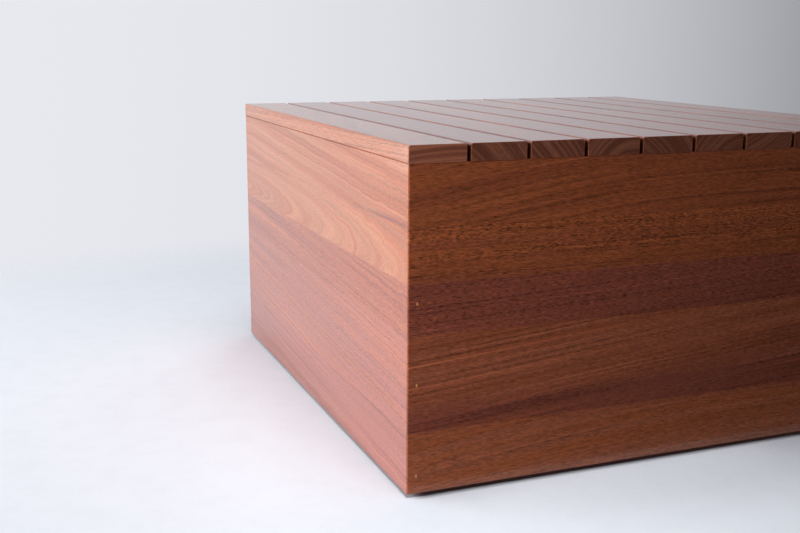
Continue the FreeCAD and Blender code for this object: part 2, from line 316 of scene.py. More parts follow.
LEFT_LOOKS = (
    BoardLook("amber", "honey", pith=(0.14, 0.06), rise=0.07, band=0.016, curl=0.004, grain=0.7,
              line=0.8, stain=(-0.042, -0.050), stain_rise=-0.047),
    BoardLook("amber", "honey", pith=(-0.0125, 0.032), dive=-0.08, band=0.012, curl=0.003, grain=0.7,
              line=0.7),
    BoardLook("copper", "plum", pith=(0.2, 0.05), rise=0.05, band=0.014, curl=0.005, grain=0.7,
              line=0.95),
    # Boards 4 and 5 take the rose tone, with its painted sheen
    BoardLook("copper", "rose", pith=(-0.12, 0.03), rise=0.07, band=0.014, curl=0.005, grain=0.7,
              line=0.95),
    BoardLook("rose", "plum", pith=(0.1, 0.04), rise=0.05, band=0.014, curl=0.005, grain=0.7,
              line=0.95),
)
SLAT_PITHS = (
    (0.02, -0.30), (-0.14, -0.12), (-0.15, -0.12), (0.03, -0.05), (-0.12, -0.10),
    (0.05, -0.05), (-0.10, 0.14), (0.06, 0.03), (-0.02, -0.06), (0.04, -0.05),
)


def add(tree, kind, links=None, **settings):
    """Add a shader node with its settings, and set or link its inputs, given by name or number.

    A link comes from an output socket, or from a node, which stands for its first output.
    """
    node = tree.nodes.new(f"ShaderNode{kind}")
    for name, value in settings.items():
        setattr(node, name, value)
    for name, value in (links or {}).items():
        if isinstance(value, bpy.types.Node):
            value = value.outputs[0]
        if isinstance(value, bpy.types.NodeSocket):
            tree.links.new(value, node.inputs[name])
        else:
            node.inputs[name].default_value = value
    return node


def material(name):
    """Empty material and the node tree that it is drawn with."""
    made = bpy.data.materials.new(name)
    made.use_nodes = True
    made.node_tree.nodes.clear()
    return made, made.node_tree


def hardwood(timber):
    """Make the node group of solid timber: bands round a leaning pith, pores, fibres and end grain."""
    tree = bpy.data.node_groups.new("sapele", "ShaderNodeTree")
    inputs = {
        "Vector": ("Place", "Pith", "Lean", "Bow"),
        "Color": ("Pale", "Dark", "Stain"),
        "Float": ("Seed", "Band", "Wave", "Curl", "Grain", "Fleck", "Fleck low", "Line", "Vein",
                  "Stain rise", "Stain start", "Stain full", "End", "End tone", "Gap"),
    }
    outputs = {"Color": ("Colour",), "Float": ("Roughness", "Height")}
    for way, sockets in (("INPUT", inputs), ("OUTPUT", outputs)):
        for kind, names in sockets.items():
            for name in names:
                tree.interface.new_socket(name, in_out=way, socket_type=f"NodeSocket{kind}")
    inlet = tree.nodes.new("NodeGroupInput").outputs
    seed = inlet["Seed"]
    along, across = add(tree, "SeparateXYZ", {0: inlet["Place"]}).outputs[:2]

    def noise(sizes, detail):
        """Noise stretched to sizes along, across and through the board."""
        scaled = add(tree, "VectorMath", {0: inlet["Place"], 1: [1 / size for size in sizes], 2: seed},
                     operation="MULTIPLY_ADD")
        return add(tree, "TexNoise", {"Vector": scaled, "Scale": 1.0, "Detail": detail})

    def lines(width, run, detail):
        """Noise drawn out along the growth bands: width from band to band, run along the grain."""
        outward = add(tree, "Math", {0: radius, 1: width}, operation="DIVIDE")
        onward = add(tree, "Math", {0: along, 1: run}, operation="DIVIDE")
        spot = add(tree, "CombineXYZ", {0: outward, 1: onward, 2: seed})
        return add(tree, "TexNoise", {"Vector": spot, "Scale": 1.0, "Detail": detail})

    # The pith leans and bows along the board, and slow noise bends the bands round it.
    squared = add(tree, "Math", {0: along, 1: along}, operation="MULTIPLY")
    leaning = add(tree, "VectorMath", {0: inlet["Lean"], 1: along, 2: inlet["Pith"]},
                  operation="MULTIPLY_ADD")
    bowed = add(tree, "VectorMath", {0: inlet["Bow"], 1: squared, 2: leaning}, operation="MULTIPLY_ADD")
    bend = noise((timber.wave_length, timber.wave_width, timber.wave_width), 1.0)
    waved = add(tree, "VectorMath", {0: bend.outputs["Color"], 1: inlet["Wave"], 2: inlet["Place"]},
                operation="MULTIPLY_ADD")
    ripples = noise((timber.curl_length, timber.curl_width, timber.curl_width), 0.0)
    curled = add(tree, "VectorMath", {0: ripples.outputs["Color"], 1: inlet["Curl"], 2: waved},
                 operation="MULTIPLY_ADD")
    outward = add(tree, "VectorMath", {0: curled, 1: bowed}, operation="SUBTRACT")
    flat = add(tree, "VectorMath", {0: outward, 1: (0.0, 1.0, 1.0)}, operation="MULTIPLY")
    radius = add(tree, "VectorMath", {0: flat}, operation="LENGTH").outputs["Value"]

    # Broad growth bands carry fine ones about a seventh as wide, and thin dark and pale lines between.
    fine_width = add(tree, "Math", {0: inlet["Band"], 1: timber.fine_share}, operation="MULTIPLY")
    line_width = add(tree, "Math", {0: inlet["Band"], 1: timber.line_share}, operation="MULTIPLY")
    broad = lines(inlet["Band"], timber.band_run, 3.0)
    fine = lines(fine_width, timber.fine_run, 2.0)
    figure = add(tree, "Mix", {0: timber.fine_weight, 2: broad, 3: fine})
    banding = add(tree, "MapRange", {"Value": figure, "From Min": 0.38, "From Max": 0.61},
                  interpolation_type="SMOOTHSTEP")
    banded = add(tree, "Mix", {0: banding, 6: inlet["Dark"], 7: inlet["Pale"]}, data_type="RGBA")
    thin = lines(line_width, timber.line_run, 0.0)
    darker = add(tree, "MapRange", {"Value": thin, "From Min": 0.60, "From Max": 0.68, "To Max": -0.22})
    paler = add(tree, "MapRange", {"Value": thin, "From Min": 0.36, "From Max": 0.28, "To Max": 0.20})
    on_vein = add(tree, "Math", {0: radius, 1: inlet["Vein"], 2: timber.vein_width / 2},
                  operation="COMPARE")
    both = add(tree, "Math", {0: darker, 1: paler}, operation="ADD")
    veined = add(tree, "Math", {0: on_vein, 1: timber.vein_lift}, operation="MULTIPLY")
    lined = add(tree, "Math", {0: both, 1: inlet["Line"], 2: veined}, operation="MULTIPLY_ADD")

    # Dark heartwood along one edge
    climb = add(tree, "Math", {0: along, 1: inlet["Stain rise"]}, operation="MULTIPLY")
    level = add(tree, "Math", {0: across, 1: climb}, operation="SUBTRACT")
    depth = add(tree, "MapRange", {"Value": level, "From Min": inlet["Stain start"],
                                   "From Max": inlet["Stain full"]})
    streaked = add(tree, "Math", {0: depth, 1: banding, 2: depth}, operation="MULTIPLY_ADD")
    stained = add(tree, "Math", {0: streaked, 1: timber.stain_weight}, operation="MULTIPLY",
                  use_clamp=True)
    hearted = add(tree, "Mix", {0: stained, 6: banded.outputs[2], 7: inlet["Stain"]}, data_type="RGBA")

    # Pores, fibres, growth lines and ripple marks darken or lift the wood. Painted shade darkens a gap's
    # sides below the top.
    pores = add(tree, "MapRange", {
        "Value": noise((timber.pore_length, timber.pore_width, timber.pore_width), 1.0),
        "From Min": 0.54, "From Max": 0.70})
    fibres = noise((timber.fibre_length, timber.fibre_width, timber.fibre_width), 2.0)
    ripple = add(tree, "MapRange", {
        "Value": noise((timber.fleck_length, timber.fleck_width, timber.fleck_width), 0.0),
        "From Min": 0.35, "From Max": 0.65, "To Min": 0.30, "To Max": -0.24})
    patch = add(tree, "MapRange", {
        "Value": noise((timber.wave_length, timber.wave_width / 3, timber.wave_width), 1.0),
        "From Min": 0.30, "From Max": 0.44})
    above = add(tree, "Math", {0: across, 1: inlet["Fleck low"]}, operation="SUBTRACT")
    spread = add(tree, "MapRange", {"Value": above, "From Min": -timber.fleck_fade,
                                    "From Max": timber.fleck_fade})
    patched = add(tree, "Math", {0: patch, 1: spread}, operation="MULTIPLY")
    flecked = add(tree, "Math", {0: patched, 1: inlet["Fleck"]}, operation="MULTIPLY")
    lit = add(tree, "MapRange", {"Value": fibres, "From Min": 0.3, "From Max": 0.7,
                                 "To Min": -0.30, "To Max": 0.30})
    pored = add(tree, "Math", {0: pores, 1: -timber.pore_shade, 2: lit}, operation="MULTIPLY_ADD")
    grained = add(tree, "Math", {0: pored, 1: inlet["Grain"], 2: 1.0}, operation="MULTIPLY_ADD")
    rippled = add(tree, "Math", {0: flecked, 1: ripple, 2: grained}, operation="MULTIPLY_ADD")
    marked = add(tree, "Math", {0: rippled, 1: lined}, operation="ADD")
    painted_gap_shade = add(tree, "MapRange", {"Value": inlet["Gap"], "To Min": 1.0, "To Max": 0.2})
    shaded = add(tree, "Math", {0: marked, 1: painted_gap_shade}, operation="MULTIPLY")
    toned = add(tree, "VectorMath", {0: hearted.outputs[2], "Scale": shaded}, operation="SCALE")

    # End grain is dull and shows its rings, cut by fine rays.
    cut_end = add(tree, "MapRange", {"Value": inlet["End"], "From Min": 0.75, "From Max": 0.95})
    rings = add(tree, "MapRange", {
        "Value": lines(timber.end_ring, timber.band_run, 2.0), "From Min": 0.42, "From Max": 0.66},
        interpolation_type="SMOOTHSTEP")
    ringed = add(tree, "Mix", {0: rings, 6: timber.end_dark, 7: timber.end_pale}, data_type="RGBA")
    rays = noise((timber.fibre_length, timber.pore_width, 2 * timber.pore_width), 1.0)
    rayed = add(tree, "MapRange", {"Value": rays, "From Min": 0.3, "From Max": 0.7,
                                   "To Min": 0.76, "To Max": 1.24})
    end_tone = add(tree, "Math", {0: rayed, 1: inlet["End tone"]}, operation="MULTIPLY")
    sawn = add(tree, "VectorMath", {0: ringed.outputs[2], "Scale": end_tone}, operation="SCALE")
    whole = add(tree, "Mix", {0: cut_end, 6: toned, 7: sawn}, data_type="RGBA")

    # Open pores and end grain scatter the shine.
    satin = add(tree, "Math", {0: pores, 1: timber.pore_scatter, 2: timber.roughness},
                operation="MULTIPLY_ADD")
    dulled = add(tree, "Math", {0: cut_end, 1: timber.end_scatter, 2: satin}, operation="MULTIPLY_ADD")
    sunk = add(tree, "Math", {0: pores, 1: -timber.pore_depth}, operation="MULTIPLY")
    outlet = tree.nodes.new("NodeGroupOutput").inputs
    tree.links.new(whole.outputs[2], outlet["Colour"])
    tree.links.new(dulled.outputs[0], outlet["Roughness"])
    tree.links.new(sunk.outputs[0], outlet["Height"])


def sapele(timber, node, look, axes, seed, oiled=True):
    """Sapele whose bands, pores and end grain run through the board.

    Planed and oiled, it has a satin film over deep red-brown. Sawn and bare, it is dull, and paler.
    """
    made, tree = material(f"{'planed_oiled' if oiled else 'sawn_bare'}_sapele_{node}")
    low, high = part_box(node)
    middle = [(low[axis] + high[axis]) / 2 for axis in axes]
    half_length = (high[axes[0]] - low[axes[0]]) / 2
    spot = add(tree, "TexCoord")
    point = add(tree, "SeparateXYZ", {0: spot.outputs["Object"]})
    facing = add(tree, "SeparateXYZ", {0: spot.outputs["Normal"]})
    turned = add(tree, "CombineXYZ", {i: point.outputs[axis] for i, axis in enumerate(axes)})
    centred = add(tree, "VectorMath", {0: turned, 1: middle}, operation="SUBTRACT")
    end = add(tree, "Math", {0: facing.outputs[axes[0]]}, operation="ABSOLUTE")
    gap = 0.0
    top = high[axes[2]]
    # Painted shade on each side that faces a gap, deeper below the slat's top
    for sign in look.gap_sides:
        towards = add(tree, "Math", {0: facing.outputs[axes[1]], 1: sign}, operation="MULTIPLY")
        side = add(tree, "MapRange", {"Value": towards, "From Min": 0.85, "From Max": 0.98})
        gap_shade_depth = add(tree, "MapRange", {
            "Value": point.outputs[axes[2]], "From Min": top - timber.gap_shade_start,
            "From Max": top - timber.gap_shade_full})
        gap = add(tree, "Math", {0: side, 1: gap_shade_depth, 2: gap}, operation="MULTIPLY_ADD")
    wood = add(tree, "Group", {
        "Place": centred, "Seed": seed, "Pith": (0.0, *look.pith),
        "Lean": (0.0, look.rise, look.dive), "Bow": (0.0, look.bow / half_length ** 2, 0.0),
        "Band": look.band, "Wave": look.wave, "Curl": look.curl, "Pale": getattr(timber, look.pale),
        "Dark": getattr(timber, look.dark), "Grain": look.grain, "Fleck": look.fleck,
        "Fleck low": look.fleck_low, "Line": look.line, "Vein": look.vein, "Stain": timber.umber,
        "Stain rise": look.stain_rise, "Stain start": look.stain[0], "Stain full": look.stain[1],
        "End": end, "End tone": look.end_tone, "Gap": gap,
    }, node_tree=bpy.data.node_groups["sapele"])
    height = wood.outputs["Height"]
    if not oiled:
        # A frame saw leaves a ridge at each stroke, across the grain.
        marks = (timber.saw_stroke, timber.saw_run, timber.saw_run)
        stroke = add(tree, "VectorMath", {0: centred, 1: [1 / size for size in marks]},
                     operation="MULTIPLY")
        ridge = add(tree, "TexNoise", {"Vector": stroke, "Scale": 1.0, "Detail": 2.0})
        height = add(tree, "Math", {0: ridge, 1: timber.saw_depth, 2: height}, operation="MULTIPLY_ADD")
    relief = add(tree, "Bump", {"Height": height, "Strength": 0.5, "Distance": 1.0})
    shader = add(tree, "BsdfPrincipled", {
        "Base Color": wood.outputs["Colour"], "Roughness": wood.outputs["Roughness"], "IOR": 1.40,
        "Coat Weight": timber.oil if oiled else 0.0, "Coat Roughness": timber.oil_roughness,
        "Coat IOR": 1.40, "Normal": relief})
    add(tree, "OutputMaterial", {"Surface": shader})
    return made


def dress(node, made):
    """Give a node its material."""
    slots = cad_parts[node].data.materials
    slots.clear()
    slots.append(made)


def worked_metal(hardware, name, tone, marks, roughness):
    """Plated or bare metal: its tone, dulled in patches, and tool marks that spread the shine."""
    pale, dull = getattr(hardware, tone), getattr(hardware, f"{tone}_dull")
    made, tree = material(name)
    spot = add(tree, "TexCoord").outputs["Object"]
    scaled = add(tree, "VectorMath", {0: spot, 1: [1 / size for size in marks]}, operation="MULTIPLY")
    mark = add(tree, "TexNoise", {"Vector": scaled, "Scale": 1.0, "Detail": 2.0})
    patch = add(tree, "TexNoise", {"Vector": spot, "Scale": 1 / hardware.patch_width, "Detail": 3.0})
    dulled = add(tree, "MapRange", {"Value": patch, "From Min": 0.45, "From Max": 0.7})
    patched = add(tree, "Mix", {0: dulled, 6: pale, 7: dull}, data_type="RGBA")
    shine = add(tree, "MapRange", {"Value": mark, "From Min": 0.3, "From Max": 0.7,
                                   "To Min": roughness - 0.08, "To Max": roughness + 0.12})
    relief = add(tree, "Bump", {"Height": mark, "Strength": 0.3, "Distance": hardware.mark_depth})
    shader = add(tree, "BsdfPrincipled", {
        "Base Color": patched.outputs[2], "Metallic": 1.0, "Roughness": shine, "Normal": relief})
    add(tree, "OutputMaterial", {"Surface": shader})
    return made


def moulded_nylon(hardware):
    """Nylon from a grained mould: black and matt, greyed where the floor has scuffed the foot of it."""
    made, tree = material("moulded_nylon")
    spot = add(tree, "TexCoord").outputs["Object"]
    height = add(tree, "SeparateXYZ", {0: spot}).outputs["Z"]
    grain = add(tree, "TexVoronoi", {"Vector": spot, "Scale": 1 / hardware.grain_width})
    scuff = add(tree, "TexNoise", {"Vector": spot, "Scale": 1 / hardware.scuff_width, "Detail": 4.0})
    low = add(tree, "MapRange", {"Value": height, "From Min": 0.0, "From Max": hardware.pad_rim,
                                 "To Min": 0.9, "To Max": 0.1})
    worn = add(tree, "Math", {0: scuff, 1: low}, operation="MULTIPLY")
    tone = add(tree, "Mix", {0: worn, 6: hardware.nylon, 7: hardware.nylon_worn}, data_type="RGBA")
    matt = add(tree, "Math", {0: worn, 1: 0.2, 2: 0.5}, operation="MULTIPLY_ADD")
    relief = add(tree, "Bump", {"Height": grain.outputs["Distance"], "Strength": 0.4,
                                "Distance": hardware.grain_depth})
    shader = add(tree, "BsdfPrincipled", {
        "Base Color": tone.outputs[2], "Roughness": matt, "IOR": 1.53, "Normal": relief})
    add(tree, "OutputMaterial", {"Surface": shader})
    return made


def sanded_filler(hardware):
    """Wood filler sanded flush: paler than the oiled wood, matt and speckled with sawdust."""
    made, tree = material("sanded_wood_filler")
    spot = add(tree, "TexCoord").outputs["Object"]
    dust = add(tree, "TexNoise", {"Vector": spot, "Scale": 1 / hardware.sawdust_width, "Detail": 3.0})
    grain = add(tree, "MapRange", {"Value": dust, "From Min": 0.45, "From Max": 0.65})
    tone = add(tree, "Mix", {0: grain, 6: hardware.filler, 7: hardware.filler_grain}, data_type="RGBA")
    height = add(tree, "SeparateXYZ", {0: spot}).outputs["Z"]
    upper = add(tree, "Math", {0: height, 1: hardware.tint_height}, operation="GREATER_THAN")
    tinted = add(tree, "Mix", {0: upper, 6: tone.outputs[2], 7: hardware.filler_tinted},
                 data_type="RGBA")
    matt = add(tree, "Math", {0: grain, 1: 0.15, 2: 0.7}, operation="MULTIPLY_ADD")
    relief = add(tree, "Bump", {"Height": dust, "Strength": 0.4, "Distance": hardware.sawdust_depth})
    shader = add(tree, "BsdfPrincipled", {
        "Base Color": tinted.outputs[2], "Roughness": matt, "Normal": relief})
    add(tree, "OutputMaterial", {"Surface": shader})
    return made


def ring(middle, height, reach, sides):
    """Points round a vertical axis. Reach is the radius, or a function that gives it from the angle."""
    turns = [math.tau * k / sides for k in range(sides)]
    radii = [reach(turn) if callable(reach) else reach for turn in turns]
    x, y = middle[:2]
    return [(x + r * math.cos(t), y + r * math.sin(t), height) for r, t in zip(radii, turns)]


def skin(rings):
    """Points and faces of a closed surface over rings of points, with a face at each end."""
    sides = len(rings[0])
    faces = [range(sides - 1, -1, -1), range((len(rings) - 1) * sides, len(rings) * sides)]
    for first in range(0, (len(rings) - 1) * sides, sides):
        for k in range(sides):
            after = (k + 1) % sides
            faces.append((first + k, first + after, first + sides + after, first + sides + k))
    return [point for each in rings for point in each], faces


def piece(name, surfaces, made, body, slot, *nodes):
    """Object of one or more surfaces, which rides on a body in place of CAD nodes."""
    points, faces = [], []
    for surface_points, surface_faces in surfaces:
        faces += [[len(points) + corner for corner in face] for face in surface_faces]
        points += surface_points
    mesh = bpy.data.meshes.new(name)
    mesh.from_pydata(points, [], faces)
    mesh.shade_smooth()
    mesh.set_sharp_from_angle(angle=SHARP_TURN)
    mesh.materials.append(made)
    shown = bpy.data.objects.new(name, mesh)
    bpy.context.scene.collection.objects.link(shown)
    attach(shown, body)
    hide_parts(*nodes)


def middle_of(node):
    """Middle of a node's box."""
    low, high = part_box(node)
    return [(low[axis] + high[axis]) / 2 for axis in range(3)]


class SIDETABLE_OT_side_boards(Operator):
    """Finish the four sides, each of five boards"""

    bl_idname = "sidetable.side_boards"
    bl_label = "Side Boards"

    def execute(self, context):
        timber = context.scene.side_table.timber
        hardwood(timber)
        sides = {
            "front": (FRONT_LOOKS, (0, 2, 1)),
            "right": (LEFT_LOOKS, (1, 2, 0)),
            "back": (FRONT_LOOKS, (0, 2, 1)),
            "left": (LEFT_LOOKS, (1, 2, 0)),
        }
        seed = SIDE_SEED
        for side, (looks, axes) in sides.items():
            for number, look in enumerate(looks, start=1):
                node = f"{side}_board_{number}"
                dress(node, sapele(timber, node, look, axes, seed))
                seed += SIDE_SEED_STEP
        return {"FINISHED"}


class SIDETABLE_OT_slats(Operator):
    """Finish the slats of the top"""

    bl_idname = "sidetable.slats"
    bl_label = "Top Slats"

    def execute(self, context):
        timber = context.scene.side_table.timber
        tones = ("honey", "copper", "russet")
        climb, dive = 0.02, 0.03
        for number, pith in enumerate(SLAT_PITHS, start=1):
            node = f"slat_{number:02d}"
            turn = GOLDEN_ANGLE * number
            seed = SLAT_SEED + SLAT_SEED_STEP * number
            gap_sides = [sign for sign in (-1, 1) if 1 <= number + sign <= len(SLAT_PITHS)]
            # The first slat is paler than the rest, on its end too.
            first = number == 1
            pale, dark = ("amber", "honey") if first else (tones[number % len(tones)], "umber")
            look = BoardLook(pale, dark, pith=pith, rise=climb * math.sin(turn), dive=dive * math.cos(turn),
                             band=0.012, end_tone=1.36 if first else 1.0, gap_sides=gap_sides)
            dress(node, sapele(timber, node, look, (1, 0, 2), seed))
        return {"FINISHED"}


class SIDETABLE_OT_framing(Operator):
    """Finish the posts, cleats and bearer inside the table"""

    bl_idname = "sidetable.framing"
    bl_label = "Framing"

    def execute(self, context):
        timber = context.scene.side_table.timber
        runs = {f"corner_post_{corner}": (2, 0, 1) for corner in CORNERS}
        runs |= {node: (0, 1, 2) for node in ("front_cleat", "back_cleat")}
        runs |= {node: (1, 0, 2) for node in ("left_cleat", "right_cleat")}
        runs["middle_bearer"] = (0, 1, 2)
        pith_reach = 0.07
        for number, (node, axes) in enumerate(runs.items()):
            turn = GOLDEN_ANGLE * number
            seed = FRAMING_SEED + FRAMING_SEED_STEP * number
            pith = (pith_reach * math.cos(turn), pith_reach * math.sin(turn))
            look = BoardLook("copper", "russet", pith=pith, band=0.011)
            dress(node, sapele(timber, node, look, axes, seed, oiled=False))
        return {"FINISHED"}


class SIDETABLE_OT_screws(Operator):
    """Make the countersunk screws with square recesses that hold the slats and the bearer"""

    bl_idname = "sidetable.screws"
    bl_label = "Screws"

    def execute(self, context):
        hardware = context.scene.side_table.hardware
        marks = (hardware.mark_width, hardware.mark_width, hardware.mark_length)
        made = worked_metal(hardware, "rolled_yellow_zinc_plated_steel", "yellow_zinc", marks,
                            roughness=0.32)
        row, side = middle_of("back_cleat")[1], middle_of("right_cleat")[0]
        inner_slats, run = range(2, len(SLAT_PITHS)), hardware.end_screw_run
        spots = [(middle_of(f"slat_{number:02d}")[0], y) for number in inner_slats for y in (-row, row)]
        spots += [(x, y) for x in (-side, side) for y in (-run, run)]
        groups = {
            "slat_screws": (spots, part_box("front_cleat")[0].z,
                            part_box("slat_05")[1].z - hardware.screw_cover),
            "bearer_screws": ([(-side, 0.0), (side, 0.0)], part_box("middle_bearer")[0].z,
                              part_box("left_cleat")[1].z - hardware.screw_cover),
        }
        for node, (places, seat, tip) in groups.items():
            screws = [self.screw(hardware, spot, seat, tip) for spot in places]
            piece(f"{node}_recessed", screws, made, "carcass", "screw_steel", node)
        return {"FINISHED"}

    def screw(self, hardware, spot, seat, tip):
        """Screw with its head's face at seat and its point at tip."""
        half = hardware.drive_width / 2
        head, shank = hardware.head_width / 2, hardware.shank_width / 2
        rim = 0.0002
        # The recess narrows towards its floor, and the point is blunt.
        floor_share, point = 0.8, shank / 6

        def square(turn):
            """Radius of the square recess."""
            return half / max(abs(math.cos(turn)), abs(math.sin(turn)))

        rings = [
            (seat + hardware.drive_depth, lambda turn: floor_share * square(turn)),
            (seat + rim, square),
            (seat, lambda turn: square(turn) + rim),
            (seat, head - rim),
            (seat + rim, head),
            (seat + hardware.head_height, shank),
            (tip - 2 * shank, shank),
            (tip, point),
        ]
        return skin([ring(spot, height, reach, sides=24) for height, reach in rings])


class SIDETABLE_OT_nails(Operator):
    """Finish the nails across the mitres and the filler over their heads"""

    bl_idname = "sidetable.nails"
    bl_label = "Mitre Nails"

    def execute(self, context):
        hardware = context.scene.side_table.hardware
        marks = (hardware.mark_width, hardware.die_length, hardware.mark_width)
        dress("mitre_nails", worked_metal(hardware, "drawn_steel_wire", "wire", marks, roughness=0.35))
        dress("nail_fillers", sanded_filler(hardware))
        return {"FINISHED"}


class SIDETABLE_OT_levelling_feet(Operator):
    """Make the threaded studs and fluted pads, and finish the inserts that the studs turn in"""

    bl_idname = "sidetable.levelling_feet"
    bl_label = "Levelling Feet"

    def execute(self, context):
        hardware = context.scene.side_table.hardware
        turned = (hardware.mark_length, hardware.mark_length, hardware.mark_width)
        zinc = worked_metal(hardware, "turned_zinc_plated_steel", "zinc", turned, roughness=0.30)
        brass = worked_metal(hardware, "turned_brass", "brass", turned, roughness=0.28)
        nylon = moulded_nylon(hardware)
        for corner in CORNERS:
            stud, pad = f"levelling_stud_{corner}", f"levelling_pad_{corner}"
            piece(f"threaded_stud_{corner}", [self.stud(hardware, stud)], zinc, stud, "stud_steel", stud)
            piece(f"fluted_pad_{corner}", [self.pad(hardware, stud, pad)], nylon, pad, "pad_plastic", pad)
        dress("threaded_inserts", brass)
        return {"FINISHED"}

    def stud(self, hardware, node):
        """Flange, neck, chamfered hexagon collar and a right-hand thread."""
        middle = middle_of(node)
        bottom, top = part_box(node)[0].z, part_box(node)[1].z
        seat = bottom + hardware.flange_height
        flange, neck, shank = hardware.flange_width / 2, hardware.neck_width / 2, hardware.stud_width / 2
        low, high = hardware.collar_low, hardware.collar_high
        flat = hardware.collar_width / 2
        edge = 0.0003
        # The chamfer rounds the collar's corners, and uncut lies outside them.
        chamfer, uncut = 1.12 * flat, 2 * flat
        # Straight flanks join a crest of an eighth and a root of a quarter of the pitch.
        crest, root = 1 / 8, 1 / 4
        steps_per_turn = 8
        end = 0.7 * shank

        def hexagon(limit):
            """Radius of the collar, cut round at the limit."""
            sixth = math.tau / 6
            return lambda turn: min(flat / math.cos((turn + sixth / 2) % sixth - sixth / 2), limit)

        def thread(height, cut):
            """Radius of the thread at a height, cut to a share of its depth."""
            def reach(turn):
                phase = (height / hardware.thread_pitch - turn / math.tau) % 1.0
                flank = (abs(2 * phase - 1) - crest) / (1 - crest - root)
                return shank - cut * hardware.thread_depth * min(max(flank, 0.0), 1.0)
            return reach

        rings = [
            (bottom, flange - edge), (bottom + edge, flange), (seat - edge, flange), (seat, flange - edge),
            (seat, neck), (low, neck),
            (low, hexagon(flat)), (low + 2 * edge, hexagon(chamfer)), (low + 3 * edge, hexagon(uncut)),
            (high - 3 * edge, hexagon(uncut)), (high - 2 * edge, hexagon(chamfer)), (high, hexagon(flat)),
            (high, shank),
        ]
        steps = round((top - high) / hardware.thread_pitch * steps_per_turn)
        for step in range(steps + 1):
            height = high + (top - high) * step / steps
            rings.append((height, thread(height, min(step / steps_per_turn, 1.0))))
        rings.append((top, end))
        return skin([ring(middle, height, reach, sides=48) for height, reach in rings])

    def pad(self, hardware, stud, pad):
        """Pad with rounded edges, grip flutes round its rim and the groove that holds the flange."""
        middle = middle_of(pad)
        bottom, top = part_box(pad)[0].z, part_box(pad)[1].z
        rim, shoulder = hardware.pad_width / 2, hardware.pad_shoulder / 2
        gap = 0.0001
        groove, neck = hardware.flange_width / 2 + gap, hardware.neck_width / 2 + gap
        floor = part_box(stud)[0].z - gap
        roof = floor + hardware.flange_height + 2 * gap
        edge = 0.0006
        flutes = 24

        def fluted(inset, cut):
            """Radius of the rim, with flutes cut to a share of their depth."""
            depth = cut * hardware.flute_depth
            return lambda turn: rim - inset - depth * (0.5 - 0.5 * math.cos(flutes * turn))

        high = bottom + hardware.pad_rim
        rings = [
            (bottom, fluted(2 * edge, 0.0)), (bottom + 0.3 * edge, fluted(0.5 * edge, 0.5)),
            (bottom + edge, fluted(0.0, 1.0)), (high - edge, fluted(0.0, 1.0)),
            (high - 0.3 * edge, fluted(0.5 * edge, 0.5)), (high, fluted(1.5 * edge, 0.0)),
            (top - 0.5 * edge, shoulder + edge), (top - 0.1 * edge, shoulder + 0.2 * edge),
            (top, shoulder - 0.5 * edge), (top, neck + edge), (top - 0.5 * edge, neck),
            (roof, neck), (roof, groove), (floor, groove),
        ]
        return skin([ring(middle, height, reach, sides=96) for height, reach in rings])


